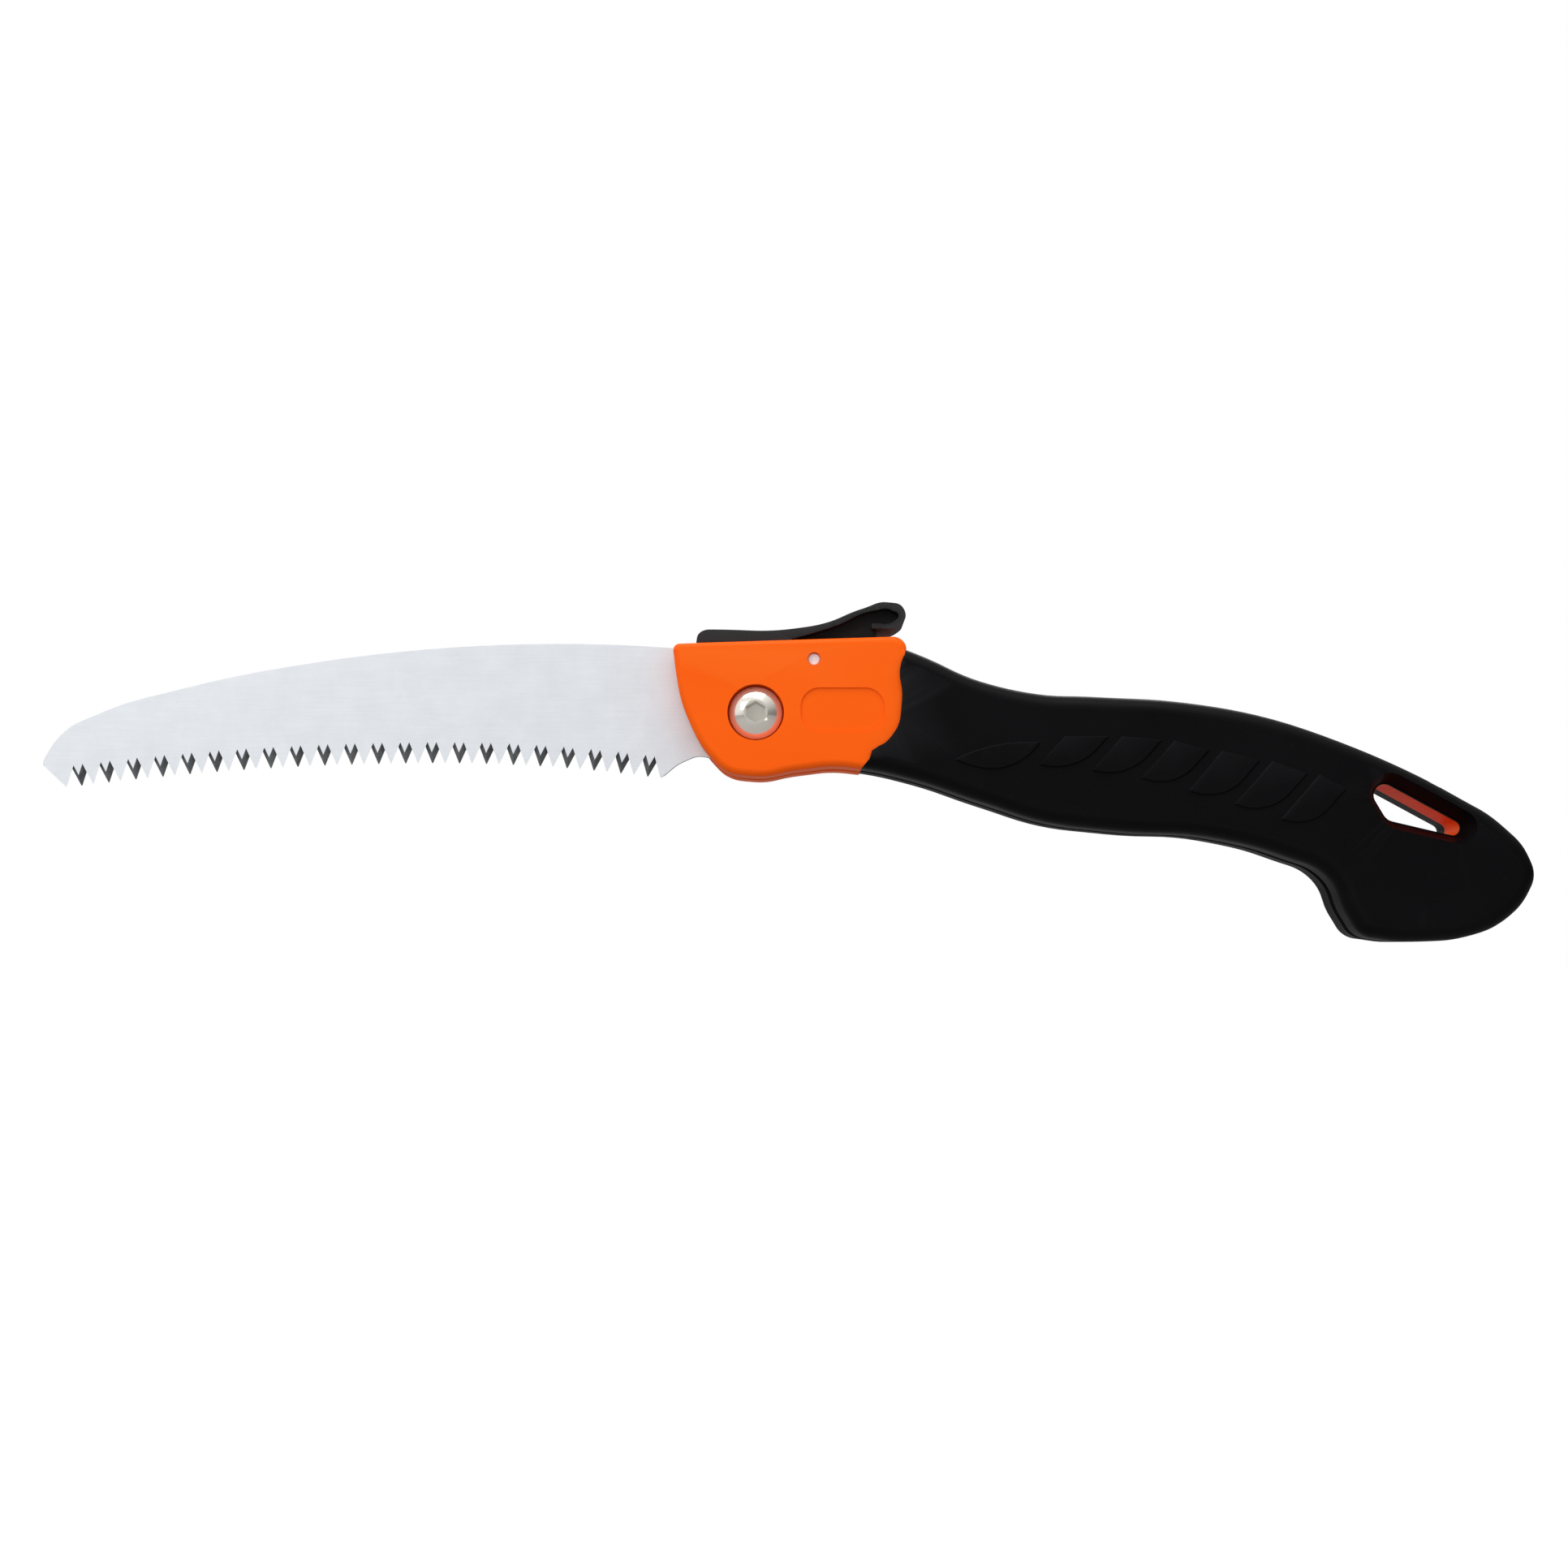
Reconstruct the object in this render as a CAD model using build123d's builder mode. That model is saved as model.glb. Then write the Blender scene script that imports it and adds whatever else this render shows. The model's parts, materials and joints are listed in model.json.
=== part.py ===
"""Folding pruning saw, open: blade, two-part core, soft grip, pivot and thumb lock.

Millimetres. X runs along the saw (blade tip at -X, butt at +X), Z is up with the teeth facing -Z,
and Y is the thickness. The origin is on the blade pivot's axis, in the blade's mid-plane.
"""

import math
import os

from build123d import *

# Driving dimensions
fold_angle = 161.0  # blade travel from open to folded
blade_thickness = 1.4
slot_width = 3.0  # blade slot through the core and the grip
head_thickness = 19.0
head_edge_radius = 1.8
grip_thickness = 22.0
grip_edge_radius = 4.0
core_thickness = 10.0  # the core's tongue inside the grip
tooth_count = 45
tooth_pitch = 25.4 / 7
tooth_groove = 5.6  # height of a ground groove on the blade's face
tooth_shear = 0.65  # half the sideways run of a groove through the blade
tang_radius = 16.6
tang_low_radius = 15.5  # rim that passes under the pawl
notch_radius = 13.4
open_notch_angle = 115.0
bush_radius = 5.5
bush_length = 5.6
bolt_radius = 4.0
bolt_head_radius = 7.0
bolt_head_height = 4.4
hex_key = 5.0
hex_depth = 2.7
dome_flat = 3.2  # radius of the flat on top of the screw's dome
washer_radius = 9.0
counterbore_radius = 7.5
counterbore_floor = 5.6  # from the mid-plane
nut_flats = 13.0
nut_floor = 3.2
nut_height = 5.6
running_fit = 0.05  # radial clearance of a turning fit
pin_x, pin_z = 15.5, 14.3  # lock lever's pin
pin_radius = 1.75
pin_recess = 1.2
lever_width = 13.0
web_thickness = 5.2  # lever's centre web
pawl_thickness = 2.4
lever_gap = 0.2  # between the lever and the head's top
spring_x = 28.0
spring_radius = 1.9
spring_wire = 0.6
spring_floor = 13.2
web_bottom = 17.8

side = Plane.XZ  # its normal points to -Y, the near side
slot_half = slot_width / 2


def polar(radius, degrees):
    """Point at a radius and an angle round the pivot, in the side view."""
    turn = math.radians(degrees)
    return (radius * math.cos(turn), radius * math.sin(turn))


def biarc(start, start_way, end, end_way):
    """Two arcs that meet smoothly, from a start point and direction to an end point and direction."""
    span = Vector(end) - Vector(start)
    ways = start_way + end_way
    turn = 2 * (1 - start_way.dot(end_way))
    along = span.dot(ways)
    if turn < 1e-6:
        reach = span.dot(span) / (2 * along)
    else:
        reach = (math.sqrt(along**2 + turn * span.dot(span)) - along) / turn
    joint = (Vector(start) + Vector(end) + (start_way - end_way) * reach) / 2
    first = TangentArc(start, joint, tangent=start_way)
    return first, TangentArc(joint, end, tangent=first % 1)


def smooth_arcs(points, start_way, end_way):
    """Smooth run of arcs through the points, inside a BuildLine; gives back its last arc."""
    ways = [Vector(*start_way).normalized()]
    for before, here, after in zip(points, points[1:], points[2:]):
        back = Vector(here) - Vector(before)
        ahead = Vector(after) - Vector(here)
        ways.append((back / back.length**2 + ahead / ahead.length**2).normalized())
    ways.append(Vector(*end_way).normalized())
    for start, start_turn, end, end_turn in zip(points, ways, points[1:], ways[1:]):
        last = biarc(start, start_turn, end, end_turn)[1]
    return last


def head_top(x):
    """Height of the head's straight top edge."""
    return 19.3 + 0.032 * x


def write(piece, name):
    """Label a finished piece and write its STEP file."""
    piece.part.label = name
    export_step(piece.part, f"parts/{name}.step")


os.makedirs("parts", exist_ok=True)

# Outlines shared by several pieces, in the side view

# Line where the orange head ends and the black grip begins, from top to bottom
seam_points = [(40.1, 17.2), (38.4, 12.6), (38.7, 3.3), (37.0, -4.8), (32.5, -9.1)]
seam_lower = [(30.7, -10.3), (30.0, -12.5), (27.8, -15.0)]
seam_top_way = (0.25, 1)

with BuildSketch(side) as head_outline:
    with BuildLine():
        smooth_arcs([(-22.0, 16.7), (-18.4, -0.6), (-12.1, -11.6), (-8.0, -15.4), (-0.3, -17.0),
                     (11.7, -15.3), (21.0, -14.4), seam_lower[-1]], (0.12, -1), (1, -0.12))
        Polyline(*reversed(seam_lower), seam_points[-1])
        smooth_arcs(list(reversed(seam_points)), (1, 0.35), seam_top_way)
        RadiusArc(seam_points[0], (36.6, head_top(36.6)), -3.4)
        Line((36.6, head_top(36.6)), (-20.2, head_top(-20.2)))
        RadiusArc((-20.2, head_top(-20.2)), (-22.0, 16.7), -1.8)
    make_face()

# The grip's block runs on under the head to its start, where the seam then cuts it off
with BuildSketch(side) as grip_outline:
    with BuildLine():
        smooth_arcs([(21.6, 23.4), (42.6, 16.1), (59.8, 8.6), (74.8, 5.2), (90.5, 4.4), (111.2, 3.2),
                     (132.8, -0.4), (158.6, -9.1), (184.3, -21.6), (196.0, -29.0), (203.1, -37.0),
                     (204.8, -43.0), (202.6, -48.6), (195.8, -55.4), (184.5, -59.6), (175.3, -60.4),
                     (165.3, -60.1), (158.6, -58.3), (155.6, -54.0), (150.9, -44.0),
                     (137.1, -37.3), (120.0, -33.1), (94.2, -31.3), (76.9, -29.1), (59.8, -23.8),
                     (42.6, -18.0), (29.7, -15.0), (21.6, -14.1)], (1, -0.3), (-1, 0.05))
        Line((21.6, -14.1), (21.6, 23.4))
    make_face()

with BuildSketch(side) as seam_side:
    with BuildLine():
        Line((43.0, 28.3), seam_points[0])
        smooth_arcs(seam_points, (-0.25, -1), (-1, -0.35))
        Polyline(seam_points[-1], *seam_lower, (28.3, -40.0), (-60.0, -40.0), (-60.0, 28.3), (43.0, 28.3))
    make_face()

# Space that the blade needs between the cheeks, from the open to the folded position
tip_reach = 195.0
slot_end_x = 184.0
with BuildSketch(side) as blade_space:
    with BuildLine():
        Polyline((19.8, 11.9), (19.8, 40.0), (-60.0, 40.0), (-60.0, -90.0),
                 (slot_end_x - 6, -90.0), polar(tip_reach, -19.2))
        RadiusArc(polar(tip_reach, -19.2), polar(tip_reach, -11.2), -tip_reach)
        Spline(polar(tip_reach, -11.2), (135.0, -28.6), (74.0, -7.8), (33.0, 11.0))
        Line((33.0, 11.0), (19.8, 11.9))
    make_face()

hang_rim_flare = 2.6  # how much wider the hanging hole is at the grip's faces
hang_corners = [((167.0, -21.8), 3.0), ((169.6, -25.2), 3.6), ((184.6, -30.4), 2.0)]


def hang_shape(plane, grow):
    """The hanging hole's rounded outline on a plane, grown by some amount."""
    with BuildSketch(plane) as outline:
        for centre, radius in hang_corners:
            with Locations(centre):
                Circle(radius + grow)
        make_hull()
    return outline.sketch


# The core's tongue follows the grip's outline, a few millimetres inside it
with BuildSketch(side) as tongue_outline:
    with BuildLine():
        smooth_arcs([(29.5, 14.8), (42.6, 10.8), (59.8, 3.9), (76.8, 0.7), (111.2, -1.3), (132.8, -4.9),
                     (158.6, -13.7), (182.3, -25.2), (194.4, -33.5), (199.8, -42.8), (194.4, -51.3),
                     (175.7, -56.0), (165.8, -55.0), (160.2, -51.3), (153.4, -40.8), (138.3, -32.6),
                     (120.0, -28.7), (94.2, -26.8), (77.9, -24.7), (61.2, -19.6), (43.9, -13.9),
                     (29.5, -11.3)], (1, -0.25), (-1, 0.1))
        Line((29.5, -11.3), (29.5, 14.8))
    make_face()


# Core halves: head cheek and tongue, mirror images but for the pivot's pockets

core_screw_spots = [(78.7, -4.4), (111.2, -9.3), (145.6, -18.2)]
screw_radius = 1.25
screw_head_radius = 2.5
screw_head_height = 1.8

web_room_middle = (21.3, 22.3)
web_room_size = (25.0, 13.0)
web_play = 0.3
panel_middle = (23.0, 0.7)
panel_size = (22.2, 11.7)
panel_corner = 5.0
panel_depth = 0.4

with BuildPart() as cheek:
    extrude(head_outline.sketch, amount=head_thickness / 2)
    rims = cheek.edges().group_by(Axis.Y)[0]
    outer_rims = rims.filter_by(lambda edge: (edge @ 0.5).X < seam_lower[-1][0] or (edge @ 0.5).Z > 17.8)
    fillet(outer_rims, radius=head_edge_radius)
    extrude(tongue_outline.sketch, amount=core_thickness / 2)
    extrude(blade_space.sketch, amount=slot_half, mode=Mode.SUBTRACT)
    # room for the lever's centre web and its spring
    with BuildSketch(side):
        with Locations(web_room_middle):
            Rectangle(*web_room_size)
    extrude(amount=web_thickness / 2 + web_play, mode=Mode.SUBTRACT)
    with BuildSketch(Plane.XY.offset(spring_floor)):
        with Locations((spring_x, 0)):
            Circle(web_thickness / 2)
    extrude(amount=web_bottom, mode=Mode.SUBTRACT)
    # shallow oval panel on the head's side
    with BuildSketch(side.offset(head_thickness / 2)):
        with Locations(panel_middle):
            RectangleRounded(*panel_size, panel_corner)
    extrude(amount=-panel_depth, mode=Mode.SUBTRACT)
    with BuildSketch(side):
        Circle(bolt_radius + running_fit)
        with Locations((pin_x, pin_z)):
            Circle(pin_radius)
        with Locations(*core_screw_spots):
            Circle(screw_radius)
    extrude(amount=head_thickness, mode=Mode.SUBTRACT)
    extrude(hang_shape(side, 0), amount=head_thickness, mode=Mode.SUBTRACT)
    with BuildSketch(side):
        Circle(bush_radius)
    extrude(amount=bush_length / 2, mode=Mode.SUBTRACT)

with BuildPart() as core_left:
    add(cheek.part)
    with BuildSketch(side.offset(counterbore_floor)):
        Circle(counterbore_radius)
    extrude(amount=head_thickness, mode=Mode.SUBTRACT)
    with BuildSketch(side.offset(core_thickness / 2 - screw_head_height)):
        with Locations(*core_screw_spots):
            Circle(screw_head_radius)
    extrude(amount=screw_head_height, mode=Mode.SUBTRACT)
write(core_left, "core_left")

with BuildPart() as core_right:
    add(cheek.part)
    mirror(about=Plane.XZ, mode=Mode.REPLACE)
    with BuildSketch(side.offset(-nut_floor)):
        RegularPolygon(nut_flats / 2, 6, major_radius=False)
    extrude(amount=-head_thickness, mode=Mode.SUBTRACT)
write(core_right, "core_right")

# Grip: soft overmould round the tongue, with a raised leaf and six raised slanted cells on each side

pad_height = 0.5
pad_slope = 40.0  # slant of the pads' sides
pad_straight = 0.45  # straight share of a cell's rear edge
face_half = grip_thickness / 2 - pad_height
cell_edges = [  # straight front edge of each slanted cell: top and bottom point
    ((81.4, -6.5), (74.4, -14.2)),
    ((96.5, -6.5), (88.3, -15.7)),
    ((110.4, -7.6), (101.1, -17.7)),
    ((122.8, -10.3), (113.5, -21.1)),
    ((136.0, -13.0), (125.5, -24.6)),
    ((148.4, -16.5), (137.5, -28.5)),
    ((158.6, -20.4), (150.3, -32.1)),
]
cell_gap = 3.2

with BuildSketch(side.offset(face_half)) as pads:
    with BuildLine():
        smooth_arcs([(52.3, -12.8), (62.0, -9.1), (75.2, -8.0)], (1, 0.6), (1, 0))
        smooth_arcs([(75.2, -8.0), (66.9, -14.6), (52.3, -12.8)], (-0.6, -1), (-1, 0.5))
    make_face()
    for (top, bottom), (next_top, _) in zip(cell_edges, cell_edges[1:]):
        corner = (next_top[0] - cell_gap, next_top[1])
        run = Vector(*bottom) - Vector(*top)
        bend = Vector(*corner) + run * pad_straight
        with BuildLine():
            Polyline(bottom, top, corner, bend)
            TangentArc(bend, bottom, tangent=run)
        make_face()

with BuildPart() as grip:
    extrude(grip_outline.sketch, amount=face_half)
    rims = grip.edges().group_by(Axis.Y)[0]
    fillet(rims.filter_by(lambda edge: (edge @ 0.5).X > 22.5), radius=grip_edge_radius)
    extrude(pads.sketch, amount=pad_height, taper=pad_slope)
    extrude(seam_side.sketch, amount=grip_thickness, mode=Mode.SUBTRACT)
    extrude(hang_shape(side, 0), amount=grip_thickness, mode=Mode.SUBTRACT)
    flare_depth = face_half - core_thickness / 2 - 0.5
    flare_angle = math.degrees(math.atan((hang_rim_flare - 0.3) / flare_depth))
    extrude(tongue_outline.sketch, amount=core_thickness / 2, mode=Mode.SUBTRACT)
    extrude(blade_space.sketch, amount=slot_half, mode=Mode.SUBTRACT)
    mirror(about=Plane.XZ)
    # only the near side's end of the hanging hole is flared
    extrude(hang_shape(side.offset(face_half), hang_rim_flare), amount=-flare_depth,
            taper=flare_angle, mode=Mode.SUBTRACT)
write(grip, "grip")

with BuildPart() as core_screws:
    with BuildSketch(side.offset(-core_thickness / 2)):
        with Locations(*core_screw_spots):
            Circle(screw_radius)
    extrude(amount=core_thickness - screw_head_height)
    with BuildSketch(side.offset(core_thickness / 2 - screw_head_height)):
        with Locations(*core_screw_spots):
            Circle(screw_head_radius)
    extrude(amount=screw_head_height)
write(core_screws, "core_screws")

# Blade: spine, nose, toothed edge, heel and tang

crest_x, crest_z = -85.0, -12.5  # highest point of the line through the tooth tips
front_sag, rear_sag = 0.00065, 0.00116
first_tip_x = -185.2
last_tip_x = first_tip_x + (tooth_count - 1) * tooth_pitch


def tip_sag(x):
    """Curvature of the tip line before or behind its crest."""
    return front_sag if x < crest_x else rear_sag


def tip_point(x):
    """Point of the line through the tooth tips."""
    return (x, crest_z - tip_sag(x) * (x - crest_x) ** 2)


tip_run = [tip_point(last_tip_x - step * (last_tip_x - first_tip_x) / 6) for step in range(7)]
with BuildSketch(side) as blade_outline:
    with BuildLine():
        smooth_arcs([(-191.7, -13.1), (-190.2, -9.2), (-186.3, -4.2), (-175.8, 1.3), (-153.1, 8.0),
                     (-109.4, 16.1), (-54.0, 19.8), (-12.5, 17.8)], (0.05, 1), (1, -0.1))
        Polyline((-12.5, 17.8), polar(notch_radius, open_notch_angle + 4),
                 polar(notch_radius, open_notch_angle - 4), polar(tang_low_radius, open_notch_angle - 5))
        ThreePointArc(polar(tang_low_radius, open_notch_angle - 5), polar(tang_low_radius, 30),
                      polar(tang_low_radius, open_notch_angle - fold_angle + 5))
        Polyline(polar(tang_low_radius, open_notch_angle - fold_angle + 5),
                 polar(notch_radius, open_notch_angle - fold_angle + 4),
                 polar(notch_radius, open_notch_angle - fold_angle - 5),
                 polar(tang_radius, open_notch_angle - fold_angle - 8))
        ThreePointArc(polar(tang_radius, open_notch_angle - fold_angle - 8), polar(tang_radius, -90),
                      polar(tang_radius, -125))
        smooth_arcs([polar(tang_radius, -125), (-14.7, -10.8), (-19.7, -12.3), tip_run[0]],
                    (-0.5, 1), (-1, -0.75))
        smooth_arcs(tip_run, (-1, 0.14), (-1, -0.13))
        Line(tip_run[-1], (-191.7, -13.1))
    make_face()

tip_flat = 0.25
groove_half = (tooth_pitch - tip_flat) / 2 + tooth_shear
groove_below = 1.5
groove_base = groove_half * (1 + groove_below / tooth_groove)
cut_half = 1.0  # the grooves are cut from this far outside the mid-plane
cut_shift = tooth_shear * cut_half / (blade_thickness / 2)


def ground_grooves(parity):
    """Every second gullet between the teeth, ground slantwise through the blade."""
    lean = -cut_shift if parity else cut_shift
    with BuildSketch(side.offset(cut_half)) as grooves:
        for gullet in range(parity, tooth_count - 1, 2):
            x, z = tip_point(first_tip_x + (gullet + 0.5) * tooth_pitch)
            tilt = math.degrees(math.atan(-2 * tip_sag(x) * (x - crest_x)))
            with Locations(Location((x + lean, z, 0), (0, 0, tilt))):
                Polygon((0, tooth_groove), (-groove_base, -groove_below), (groove_base, -groove_below),
                        align=None)
    cut_way = Vector(-2 * lean, 2 * cut_half, 0)
    return grooves.sketch, cut_way


with BuildPart() as blade:
    extrude(blade_outline.sketch, amount=blade_thickness / 2, both=True)
    with BuildSketch(side):
        Circle(bush_radius + running_fit)
    extrude(amount=blade_thickness, both=True, mode=Mode.SUBTRACT)
    for parity in (0, 1):
        groove_sketch, cut_way = ground_grooves(parity)
        extrude(groove_sketch, amount=cut_way.length, dir=cut_way.normalized(), mode=Mode.SUBTRACT)
write(blade, "blade")

# Pivot: screw, sleeve, thrust washers and lock nut

bolt_rim = counterbore_floor + 2.0  # where the head's dome starts
dome_radius = 9.8
with BuildPart() as pivot_bolt:
    with BuildSketch(Plane.YZ):
        with BuildLine():
            Polyline((-counterbore_floor, 0), (-counterbore_floor - bolt_head_height, 0),
                     (-counterbore_floor - bolt_head_height, dome_flat))
            RadiusArc((-counterbore_floor - bolt_head_height, dome_flat), (-bolt_rim, bolt_head_radius),
                      dome_radius)
            Polyline((-bolt_rim, bolt_head_radius), (-counterbore_floor, bolt_head_radius),
                     (-counterbore_floor, 0))
        make_face()
    revolve(axis=Axis.Y)
    with BuildSketch(side.offset(-nut_floor - nut_height + 0.4)):
        Circle(bolt_radius)
    extrude(amount=counterbore_floor + nut_floor + nut_height - 0.4)
    with BuildSketch(side.offset(counterbore_floor + bolt_head_height)):
        RegularPolygon(hex_key / 2, 6, major_radius=False, rotation=30)
    extrude(amount=-hex_depth, mode=Mode.SUBTRACT)
write(pivot_bolt, "pivot_bolt")

with BuildPart() as pivot_bush:
    with BuildSketch(side):
        Circle(bush_radius)
        Circle(bolt_radius + running_fit, mode=Mode.SUBTRACT)
    extrude(amount=bush_length / 2, both=True)
write(pivot_bush, "pivot_bush")

washer_thickness = (slot_width - blade_thickness) / 2 - running_fit
for name, near_face in (("washer_left", slot_half), ("washer_right", -slot_half + washer_thickness)):
    with BuildPart() as washer:
        with BuildSketch(side.offset(near_face)):
            Circle(washer_radius)
            Circle(bush_radius, mode=Mode.SUBTRACT)
        extrude(amount=-washer_thickness)
    write(washer, name)

collar_height = 1.8
with BuildPart() as pivot_nut:
    with BuildSketch(side.offset(-nut_floor)):
        RegularPolygon(nut_flats / 2, 6, major_radius=False)
        Circle(bolt_radius, mode=Mode.SUBTRACT)
    extrude(amount=-nut_height)
    with BuildSketch(side.offset(-nut_floor - nut_height)):
        Circle(5.2)
    extrude(amount=collar_height, mode=Mode.SUBTRACT)
write(pivot_nut, "pivot_nut")

with BuildPart() as nut_collar:
    with BuildSketch(side.offset(-nut_floor - nut_height)):
        Circle(5.2)
        Circle(bolt_radius, mode=Mode.SUBTRACT)
    extrude(amount=collar_height)
write(nut_collar, "nut_collar")

# Lock: lever, its steel pawl, pins and spring

with BuildPart() as lever_pin:
    with BuildSketch(side):
        with Locations((pin_x, pin_z)):
            Circle(pin_radius)
    extrude(amount=head_thickness / 2 - pin_recess, both=True)
    chamfer(lever_pin.edges().filter_by(GeomType.CIRCLE), length=0.35)
write(lever_pin, "lever_pin")

boss_radius = 3.2
pawl_top = 22.1
nose_gap = 0.2  # the nose's height above the tang's rim
with BuildSketch(side) as pawl_outline:
    with BuildLine():
        nose_low = tang_low_radius + nose_gap
        arm_low = tang_radius + 0.4
        Polyline((-12.0, pawl_top), (-12.0, 18.9), polar(arm_low + 0.6, open_notch_angle + 6),
                 polar(nose_low, open_notch_angle + 3), polar(nose_low, open_notch_angle - 3),
                 polar(arm_low, open_notch_angle - 5))
        ThreePointArc(polar(arm_low, open_notch_angle - 5), polar(arm_low, 85), polar(arm_low, 64))
        Polyline(polar(arm_low, 64), (13.0, 15.6), (18.0, 15.6), (18.7, pawl_top), (-12.0, pawl_top))
    make_face()
    with Locations((pin_x, pin_z)):
        Circle(boss_radius)
        Circle(pin_radius + running_fit, mode=Mode.SUBTRACT)

pawl_pin_spots = [(-8.5, 20.8), (6.5, 21.0)]
pawl_pin_radius = 0.8
pin_cover = 1.5  # lever's plastic over each end of the pawl's pins
with BuildPart() as lock_pawl:
    extrude(pawl_outline.sketch, amount=pawl_thickness / 2, both=True)
    with BuildSketch(side):
        with Locations(*pawl_pin_spots):
            Circle(pawl_pin_radius)
    extrude(amount=pawl_thickness, both=True, mode=Mode.SUBTRACT)
write(lock_pawl, "lock_pawl")

with BuildPart() as pawl_pins:
    with BuildSketch(side):
        with Locations(*pawl_pin_spots):
            Circle(pawl_pin_radius)
    extrude(amount=lever_width / 2 - pin_cover, both=True)
write(pawl_pins, "pawl_pins")

with BuildSketch(side) as lever_outline:
    with BuildLine():
        block_low = head_top(-16.0) + lever_gap
        Line((9.5, head_top(9.5) + lever_gap), (-16.0, block_low))
        smooth_arcs([(-16.0, block_low), (-15.3, 21.5), (-12.6, 22.7)], (0.2, 1), (1, 0.05))
        smooth_arcs([(-12.6, 22.7), (9.0, 22.8), (18.0, 24.3), (28.4, 28.3), (34.8, 30.1), (39.4, 28.6),
                     (40.0, 25.9), (37.9, 23.7), (32.4, 22.9)], (1, 0), (-1, -0.05))
        Polyline((32.4, 22.9), (32.4, web_bottom), (9.5, web_bottom), (9.5, head_top(9.5) + lever_gap))
    make_face()

with BuildSketch(side) as lever_pocket:
    with BuildLine():
        smooth_arcs([(9.5, 20.1), (21.0, 23.6), (31.0, 27.7), (36.0, 28.1), (38.2, 26.4), (36.8, 24.9),
                     (31.0, 24.3)], (1, 0.3), (-1, -0.05))
        Polyline((31.0, 24.3), (31.0, 23.0), (33.5, 23.0), (33.5, 10.0), (9.5, 10.0), (9.5, 20.1))
    make_face()

with BuildPart() as lock_lever:
    extrude(lever_outline.sketch, amount=lever_width / 2, both=True)
    pockets_cut = extrude(lever_pocket.sketch, amount=lever_width, both=True, mode=Mode.PRIVATE)
    with BuildPart(mode=Mode.PRIVATE) as web_room:
        add(pockets_cut)
        with BuildSketch(side):
            with Locations((20, 20)):
                Rectangle(100, 60)
        extrude(amount=web_thickness / 2, both=True, mode=Mode.SUBTRACT)
    add(web_room.part, mode=Mode.SUBTRACT)
    extrude(pawl_outline.sketch, amount=pawl_thickness / 2, both=True, mode=Mode.SUBTRACT)
    with BuildSketch(side):
        with Locations(*pawl_pin_spots):
            Circle(pawl_pin_radius)
    extrude(amount=lever_width / 2 - pin_cover, both=True, mode=Mode.SUBTRACT)
write(lock_lever, "lock_lever")

spring_turns = 4
with BuildPart() as lever_spring:
    spring_low = spring_floor + spring_wire / 2 + 0.05
    spring_high = web_bottom - spring_wire / 2 - 0.05
    with BuildLine(Plane.XY.offset(spring_low)) as coil:
        Helix((spring_high - spring_low) / spring_turns, spring_high - spring_low, spring_radius,
              center=(spring_x, 0, 0))
    with BuildSketch(Plane(coil.line @ 0, z_dir=coil.line % 0)):
        Circle(spring_wire / 2)
    sweep()
write(lever_spring, "lever_spring")
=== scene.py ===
"""Looks of the folding pruning saw: materials, soft studio light, floor and camera."""

import json
import math

import bpy
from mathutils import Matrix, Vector


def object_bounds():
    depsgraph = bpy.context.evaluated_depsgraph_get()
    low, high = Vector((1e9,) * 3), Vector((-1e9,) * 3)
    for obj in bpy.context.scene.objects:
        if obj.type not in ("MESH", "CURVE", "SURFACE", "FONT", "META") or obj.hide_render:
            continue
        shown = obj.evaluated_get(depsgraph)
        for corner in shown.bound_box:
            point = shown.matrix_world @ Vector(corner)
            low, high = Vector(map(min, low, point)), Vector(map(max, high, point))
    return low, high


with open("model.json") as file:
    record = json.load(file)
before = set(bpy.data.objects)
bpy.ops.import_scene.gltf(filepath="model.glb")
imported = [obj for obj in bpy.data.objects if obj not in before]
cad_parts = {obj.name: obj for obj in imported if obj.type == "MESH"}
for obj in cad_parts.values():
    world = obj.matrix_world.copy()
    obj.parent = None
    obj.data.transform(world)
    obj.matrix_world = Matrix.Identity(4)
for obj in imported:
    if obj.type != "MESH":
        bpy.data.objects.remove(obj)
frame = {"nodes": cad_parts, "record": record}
cad_low, cad_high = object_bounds()


# Shader helpers. Textures read the piece's own coordinates, in metres, so scales are per metre.

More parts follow.
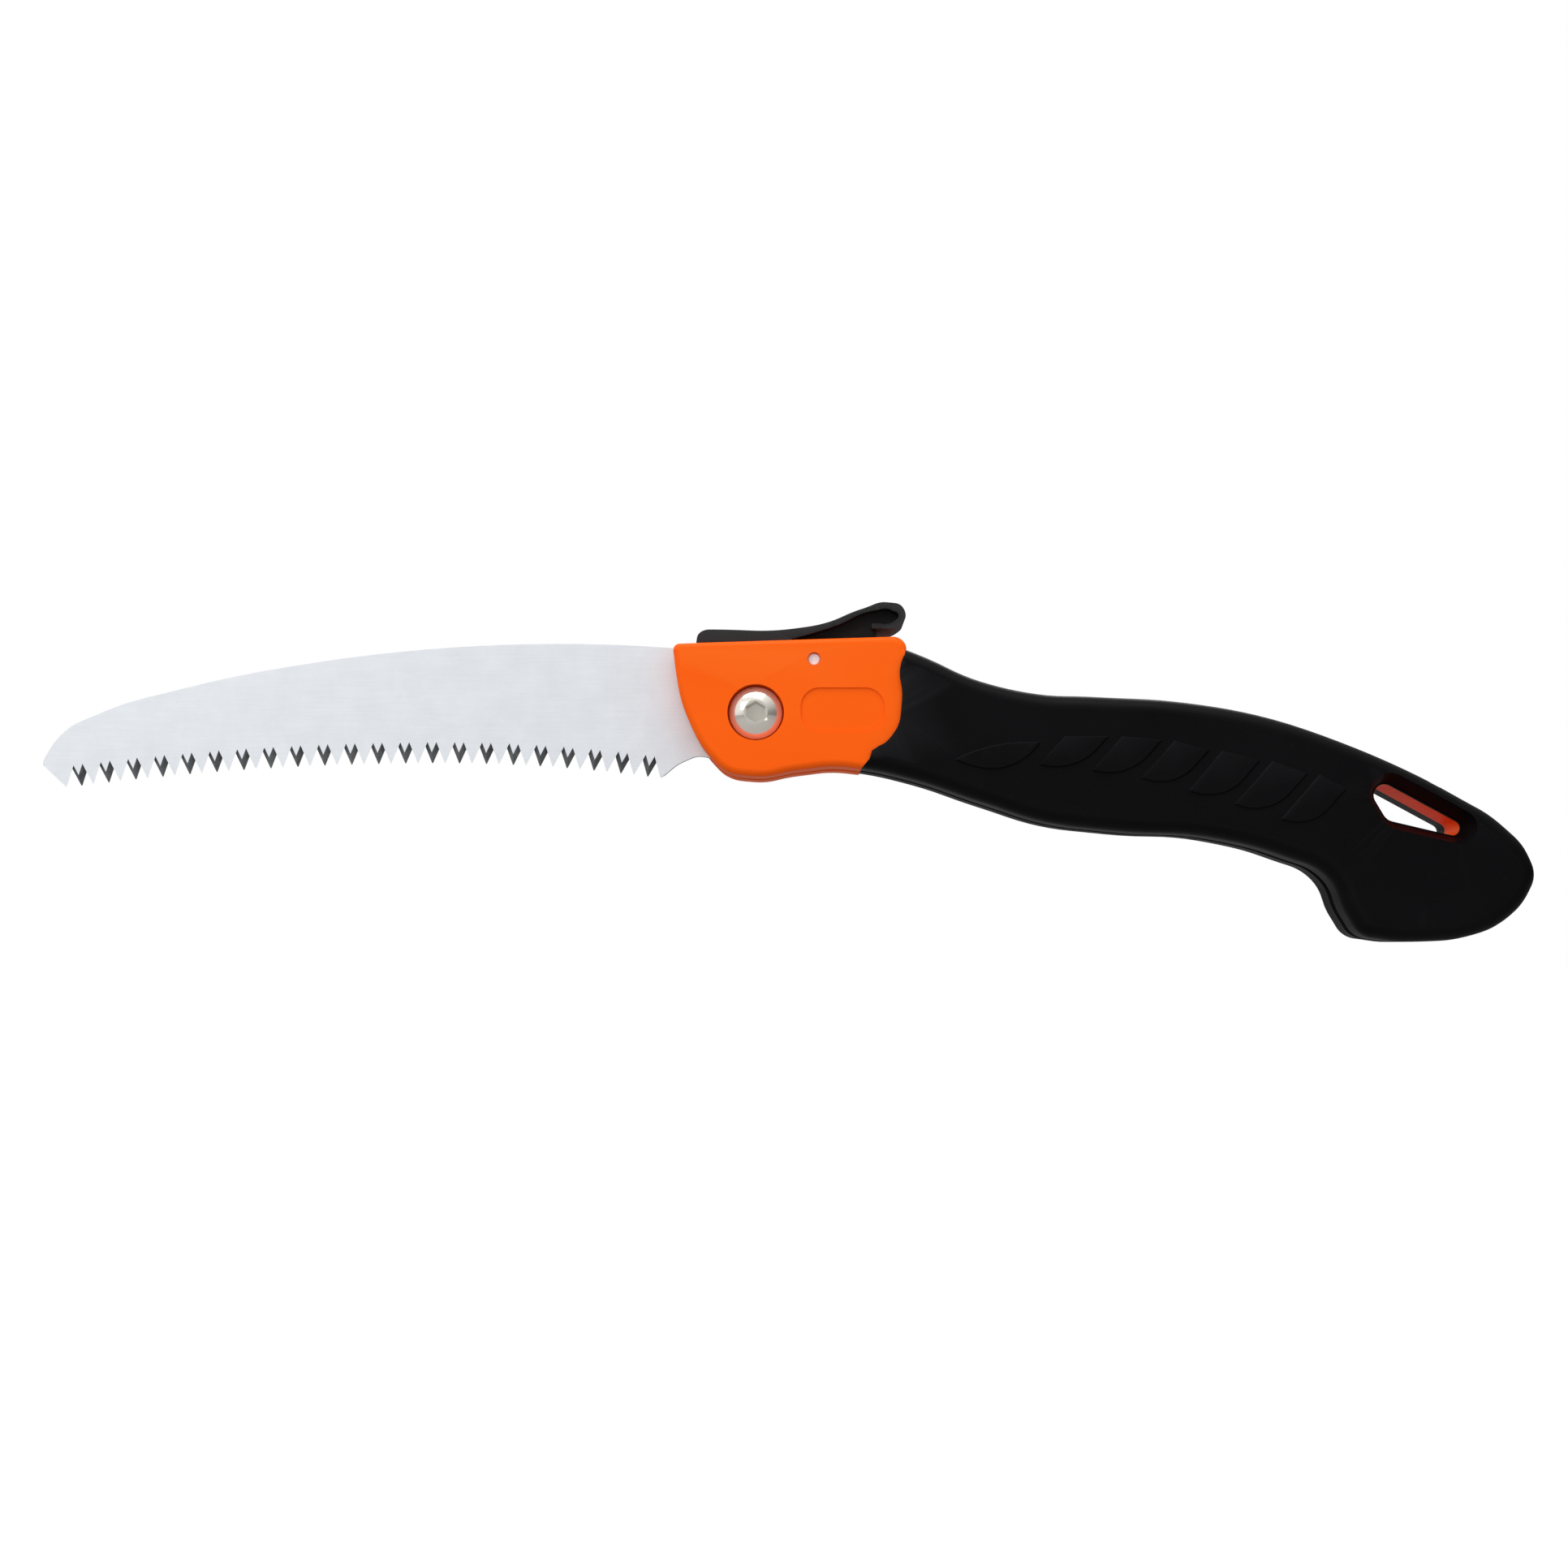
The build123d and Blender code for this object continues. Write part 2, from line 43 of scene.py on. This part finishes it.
class Surface:
    """A Principled material and the few node chains that all of the saw's materials share."""

    def __init__(self, name, **inputs):
        self.material = bpy.data.materials.new(name)
        self.material.use_nodes = True
        self.tree = self.material.node_tree
        self.shader = self.tree.nodes["Principled BSDF"]
        for socket, value in inputs.items():
            self.shader.inputs[socket.replace("_", " ")].default_value = value
        self.place = self.tree.nodes.new("ShaderNodeTexCoord").outputs["Object"]

    def node(self, kind, **settings):
        """A new node with its settings."""
        made = self.tree.nodes.new("ShaderNode" + kind)
        for setting, value in settings.items():
            setattr(made, setting, value)
        return made

    def link(self, output, target):
        """Connects a value to a socket."""
        self.tree.links.new(output, target)

    def noise(self, scale, detail=3.0, stretch=(1.0, 1.0, 1.0), roughness=0.5):
        """Noise from 0 to 1, stretched along an axis by a smaller factor."""
        mapping = self.node("Mapping")
        mapping.inputs["Scale"].default_value = stretch
        self.link(self.place, mapping.inputs["Vector"])
        texture = self.node("TexNoise")
        texture.inputs["Scale"].default_value = scale
        texture.inputs["Detail"].default_value = detail
        texture.inputs["Roughness"].default_value = roughness
        self.link(mapping.outputs["Vector"], texture.inputs["Vector"])
        return texture.outputs["Fac"]

    def axis(self, name):
        """One of the place's three coordinates, in metres."""
        split = self.node("SeparateXYZ")
        self.link(self.place, split.inputs["Vector"])
        return split.outputs[name]

    def maths(self, operation, first, second=0.0):
        """A sum on values or plain numbers."""
        made = self.node("Math", operation=operation)
        for socket, value in zip(made.inputs, (first, second)):
            if isinstance(value, (int, float)):
                socket.default_value = value
            else:
                self.link(value, socket)
        return made.outputs["Value"]

    def spread(self, value, low, high, new_low=0.0, new_high=1.0):
        """Maps a value's range to another range, held between its ends."""
        made = self.node("MapRange")
        self.link(value, made.inputs["Value"])
        for socket, number in zip(made.inputs[1:5], (low, high, new_low, new_high)):
            socket.default_value = number
        return made.outputs["Result"]

    def colours(self, value, *stops):
        """Colours along a value, each stop a position and a colour."""
        ramp = self.node("ValToRGB")
        for _ in range(len(stops) - 2):
            ramp.color_ramp.elements.new(0.5)
        for element, (position, colour) in zip(ramp.color_ramp.elements, stops):
            element.position = position
            element.color = (*colour, 1.0)
        self.link(value, ramp.inputs["Fac"])
        return ramp.outputs["Color"]

    def mix(self, share, first, second):
        """Two colours mixed by a share."""
        made = self.node("Mix", data_type="RGBA")
        for socket, value in ((made.inputs[0], share), (made.inputs[6], first), (made.inputs[7], second)):
            if isinstance(value, tuple):
                socket.default_value = (*value, 1.0)
            else:
                self.link(value, socket)
        return made.outputs[2]

    def bump(self, *layers):
        """Relief from several (height value, depth in metres) layers."""
        normal = None
        for height, depth in layers:
            made = self.node("Bump")
            made.inputs["Strength"].default_value = 1.0
            made.inputs["Distance"].default_value = depth
            self.link(height, made.inputs["Height"])
            if normal is not None:
                self.link(normal, made.inputs["Normal"])
            normal = made.outputs["Normal"]
        self.link(normal, self.shader.inputs["Normal"])

    def colour(self, output):
        """Sets the base colour from nodes."""
        self.link(output, self.shader.inputs["Base Color"])

    def roughness(self, output):
        """Sets the roughness from nodes."""
        self.link(output, self.shader.inputs["Roughness"])

    def normal(self, name):
        """One of the three parts of the surface's own direction."""
        split = self.node("SeparateXYZ")
        self.link(self.node("NewGeometry").outputs["True Normal"], split.inputs["Vector"])
        return split.outputs[name]

    def facing(self):
        """How much the surface faces sideways, from 0 on the saw's rims to 1 on its flat sides."""
        return self.maths("ABSOLUTE", self.normal("Y"))

    def edges(self, tight, wide):
        """How convex the surface is at a place, from 0 on flats and hollows to 1 on sharp edges, where
        highlights are painted.
        """
        pointed = self.node("NewGeometry").outputs["Pointiness"]
        return self.spread(pointed, tight, wide)


def blade_steel():
    """Satin carbon steel: fine grinding lines along the blade, faint mottling, and painted shade that
    darkens the bevels and rims.
    """
    steel = Surface("blade_steel", Metallic=0.2, Specular_IOR_Level=0.25)
    lines = steel.noise(2600, 2, stretch=(0.03, 1.0, 1.0))
    clouds = steel.noise(120, 6, roughness=0.7)
    specks = steel.noise(900, 2)
    base = steel.colours(clouds, (0.35, (0.75, 0.78, 0.82)), (0.65, (0.79, 0.82, 0.86)))
    lined = steel.mix(steel.spread(lines, 0.35, 0.65, 0.0, 0.10), base, (0.56, 0.58, 0.61))
    flat = steel.mix(steel.spread(specks, 0.68, 0.76, 0.0, 0.08), lined, (0.42, 0.42, 0.43))
    # painted shade: surfaces that don't face the blade's sides (tooth bevels, rims) are coloured dark
    bevel_shade = steel.colours(clouds, (0.35, (0.08, 0.085, 0.09)), (0.65, (0.20, 0.21, 0.22)))
    steel.colour(steel.mix(steel.spread(steel.facing(), 0.90, 0.985), bevel_shade, flat))
    steel.roughness(steel.spread(steel.maths("ADD", lines, clouds), 0.7, 1.3, 0.36, 0.50))
    steel.bump((lines, 0.000004), (clouds, 0.00001))
    return steel.material


def core_plastic():
    """Moulded orange plastic: faint flow marks, fine mould grain and a painted highlight that lightens the
    convex edges.
    """
    plastic = Surface("core_plastic", Specular_IOR_Level=0.08)
    flow = plastic.noise(38, 4, stretch=(0.5, 1.0, 1.3))
    grain = plastic.noise(2400, 2)
    base = plastic.colours(flow, (0.25, (0.96, 0.110, 0.002)), (0.75, (0.99, 0.126, 0.003)))
    # painted highlight: convex edges are mixed toward a paler orange
    plastic.colour(plastic.mix(plastic.edges(0.54, 0.66), base, (0.98, 0.14, 0.008)))
    plastic.roughness(plastic.spread(plastic.maths("ADD", grain, flow), 0.6, 1.4, 0.36, 0.48))
    plastic.bump((flow, 0.00003), (grain, 0.000012))
    return plastic.material


def grip_rubber():
    """Black soft overmould: fine satin grain, cloudy handling marks and a painted sheen that greys the
    convex edges.
    """
    rubber = Surface("grip_rubber", Specular_IOR_Level=0.08)
    clouds = rubber.noise(45, 5, roughness=0.6)
    grain = rubber.noise(3200, 2)
    dust = rubber.noise(420, 4)
    base = rubber.colours(clouds, (0.30, (0.0012, 0.0012, 0.0017)), (0.75, (0.0024, 0.0024, 0.0031)))
    dusted = rubber.mix(rubber.spread(dust, 0.68, 0.82, 0.0, 0.15), base, (0.016, 0.016, 0.018))
    # painted highlight: convex edges are mixed toward grey as a sheen
    rubber.colour(rubber.mix(rubber.edges(0.53, 0.64), dusted, (0.014, 0.014, 0.016)))
    rubber.roughness(rubber.spread(rubber.maths("ADD", clouds, grain), 0.6, 1.4, 0.40, 0.54))
    rubber.bump((clouds, 0.00005), (grain, 0.000016))
    return rubber.material


def lever_plastic():
    """Black moulded plastic with a coarser matte grain, and ridges across the lever's top."""
    ridge_scale = 250
    ridge_depth = 0.00012
    plastic = Surface("lever_plastic", Specular_IOR_Level=0.22)
    grain = plastic.noise(1500, 4, roughness=0.65)
    clouds = plastic.noise(90, 4)
    base = plastic.colours(clouds, (0.30, (0.0050, 0.0050, 0.0055)), (0.75, (0.0090, 0.0090, 0.0096)))
    # painted highlight: convex edges are mixed toward dark grey
    plastic.colour(plastic.mix(plastic.edges(0.53, 0.63), base, (0.024, 0.024, 0.026)))
    plastic.roughness(plastic.spread(grain, 0.3, 0.7, 0.50, 0.66))
    # fine ridges for the thumb, on the lever's top from a little behind the pivot's axis
    waves = plastic.node("TexWave", wave_type="BANDS", bands_direction="X", wave_profile="SIN")
    waves.inputs["Scale"].default_value = ridge_scale
    plastic.link(plastic.place, waves.inputs["Vector"])
    behind = plastic.spread(plastic.axis("X"), 0.004, 0.008)
    topside = plastic.spread(plastic.normal("Z"), 0.3, 0.6)
    ridges = plastic.maths("MULTIPLY", waves.outputs["Fac"], plastic.maths("MULTIPLY", behind, topside))
    plastic.bump((grain, 0.00003), (ridges, ridge_depth))
    return plastic.material


def bright_nickel():
    """Warm bright nickel plate with faint handling haze."""
    nickel = Surface("bright_nickel", Metallic=0.75)
    haze = nickel.noise(260, 4)
    scratches = nickel.noise(1800, 2, stretch=(1.0, 1.0, 0.08))
    base = nickel.colours(haze, (0.3, (0.84, 0.79, 0.70)), (0.7, (0.90, 0.86, 0.78)))
    nickel.colour(base)
    nickel.roughness(nickel.spread(nickel.maths("ADD", haze, scratches), 0.7, 1.3, 0.07, 0.15))
    nickel.bump((scratches, 0.000004))
    return nickel.material


def bright_pin():
    """Bright turned pin: pale satin ends with faint turning marks."""
    pin = Surface("bright_pin", Metallic=0.15, Specular_IOR_Level=0.5)
    marks = pin.noise(1400, 3)
    pin.colour(pin.colours(marks, (0.3, (0.90, 0.90, 0.90)), (0.7, (0.96, 0.96, 0.96))))
    pin.roughness(pin.spread(marks, 0.3, 0.7, 0.30, 0.42))
    pin.bump((marks, 0.000005))
    return pin.material


def plain_steel():
    """Machined steel of the inner parts: fine turning lines and an oily tone."""
    steel = Surface("plain_steel", Metallic=1.0)
    lines = steel.noise(3200, 2, stretch=(1.0, 0.2, 1.0))
    stain = steel.noise(180, 4)
    steel.colour(steel.colours(stain, (0.3, (0.42, 0.41, 0.40)), (0.7, (0.56, 0.56, 0.55))))
    steel.roughness(steel.spread(steel.maths("ADD", lines, stain), 0.7, 1.3, 0.26, 0.42))
    steel.bump((lines, 0.000006))
    return steel.material


def washer_nylon():
    """Natural nylon: waxy off-white with faint wear."""
    nylon = Surface("washer_nylon", Specular_IOR_Level=0.45)
    wear = nylon.noise(300, 4)
    nylon.colour(nylon.colours(wear, (0.35, (0.60, 0.59, 0.54)), (0.65, (0.74, 0.73, 0.69))))
    nylon.roughness(nylon.spread(wear, 0.3, 0.7, 0.36, 0.50))
    nylon.bump((wear, 0.00001))
    return nylon.material


def spring_steel():
    """Drawn spring wire: grey, slightly darker in places."""
    wire = Surface("spring_steel", Metallic=1.0)
    marks = wire.noise(900, 3)
    wire.colour(wire.colours(marks, (0.35, (0.30, 0.30, 0.31)), (0.65, (0.48, 0.48, 0.49))))
    wire.roughness(wire.spread(marks, 0.3, 0.7, 0.28, 0.44))
    wire.bump((marks, 0.000006))
    return wire.material


finishes = {
    "blade": blade_steel(),
    "core": core_plastic(),
    "grip": grip_rubber(),
    "lever": lever_plastic(),
    "nickel": bright_nickel(),
    "pin": bright_pin(),
    "steel": plain_steel(),
    "washer": washer_nylon(),
    "spring": spring_steel(),
}
for part in frame["record"]["subparts"]:
    piece = frame["nodes"][part["node"]]
    piece.data.materials.clear()
    piece.data.materials.append(finishes[part["material_slot"]])


# Floor, well below the saw, which hangs clear of it as in a product picture. Only the camera sees it
# white: for light and reflections it is dark, so that the saw isn't lit from below.

middle = (cad_low + cad_high) / 2
floor_drop = 0.30
floor_half = 20.0
floor_z = cad_low.z - floor_drop
floor_mesh = bpy.data.meshes.new("floor")
floor_mesh.from_pydata(
    [(x, y, floor_z) for x, y in ((-floor_half, -floor_half), (floor_half, -floor_half),
                                  (floor_half, floor_half), (-floor_half, floor_half))],
    [], [(0, 1, 2, 3)])
floor = bpy.data.objects.new("floor", floor_mesh)
bpy.context.scene.collection.objects.link(floor)
paper = Surface("floor_paper", Specular_IOR_Level=0.0, Roughness=1.0)
floor_glow = 0.75
seen = paper.node("LightPath").outputs["Is Camera Ray"]
tint = paper.colours(paper.noise(40, 3), (0.3, (0.80, 0.80, 0.80)), (0.7, (0.84, 0.84, 0.84)))
paper.colour(paper.mix(seen, (0.30, 0.30, 0.30), tint))
paper.shader.inputs["Emission Color"].default_value = (1.0, 1.0, 1.0, 1.0)
paper.link(paper.maths("MULTIPLY", seen, floor_glow), paper.shader.inputs["Emission Strength"])
floor_mesh.materials.append(paper.material)

# Studio: even white room for the background and for matte surfaces. Reflections see a darker room,
# bright at its upper left and dark below.
backdrop_light = 1.0
matte_light = 0.86
brightest_way = (-0.45, 0.0, 0.90)
reflected_range = (-0.25, 0.55, 0.04, 0.90)  # from and to along that way, and the light at each
room = bpy.data.worlds.new("studio")
bpy.context.scene.world = room
room.use_nodes = True
nodes = room.node_tree.nodes
path = nodes.new("ShaderNodeLightPath")
level = nodes.new("ShaderNodeMapRange")
level.inputs["To Min"].default_value = matte_light
level.inputs["To Max"].default_value = backdrop_light
room.node_tree.links.new(path.outputs["Is Camera Ray"], level.inputs["Value"])
dim = nodes.new("ShaderNodeMix")
room.node_tree.links.new(path.outputs["Is Glossy Ray"], dim.inputs["Factor"])
room.node_tree.links.new(level.outputs["Result"], dim.inputs["A"])
way = nodes.new("ShaderNodeVectorMath")
way.operation = "DOT_PRODUCT"
way.inputs[1].default_value = brightest_way
room.node_tree.links.new(nodes.new("ShaderNodeTexCoord").outputs["Generated"], way.inputs[0])
shade = nodes.new("ShaderNodeMapRange")
for socket, number in zip(shade.inputs[1:5], reflected_range):
    socket.default_value = number
room.node_tree.links.new(way.outputs["Value"], shade.inputs["Value"])
room.node_tree.links.new(shade.outputs["Result"], dim.inputs["B"])
room.node_tree.links.new(dim.outputs["Result"], nodes["Background"].inputs["Strength"])
nodes["Background"].inputs["Color"].default_value = (1.0, 1.0, 1.0, 1.0)


def lamp(name, offset, width, height, power):
    """A rectangular area light at an offset from the saw's middle, turned to it; power is in watts."""
    light = bpy.data.lights.new(name, "AREA")
    light.shape = "RECTANGLE"
    light.size = width
    light.size_y = height
    light.energy = power
    made = bpy.data.objects.new(name, light)
    made.location = middle + Vector(offset)
    made.rotation_euler = (-Vector(offset)).to_track_quat("-Z", "Y").to_euler()
    bpy.context.scene.collection.objects.link(made)


lamp("overhead", (-0.15, -0.50, 1.50), 1.6, 0.8, 13.0)
lamp("left_front", (-1.10, -1.50, 0.90), 1.0, 0.8, 9.0)
lamp("underneath", (0.10, -1.00, -0.28), 1.2, 0.2, 1.0)
lamp("behind", (0.10, 1.20, 0.90), 1.2, 0.8, 8.0)

# Camera: level with the saw's side and a little below its middle, looking slightly up

view_distance = 0.45
view_elevation = math.radians(-5.5)
picture_width = 0.4216  # what the picture spans at the blade's plane
aim = Vector((0.0075, 0.0, -0.0182))
camera_data = bpy.data.cameras.new("camera")
camera_data.sensor_width = 36.0
camera_data.lens = camera_data.sensor_width * view_distance / picture_width
camera_data.clip_start = 0.01
camera_data.clip_end = 60.0
camera = bpy.data.objects.new("camera", camera_data)
away = Vector((0.0, -math.cos(view_elevation), math.sin(view_elevation)))
camera.location = aim + away * view_distance
camera.rotation_euler = (-away).to_track_quat("-Z", "Y").to_euler()
bpy.context.scene.collection.objects.link(camera)
bpy.context.scene.camera = camera
bpy.context.scene.view_settings.view_transform = "Standard"
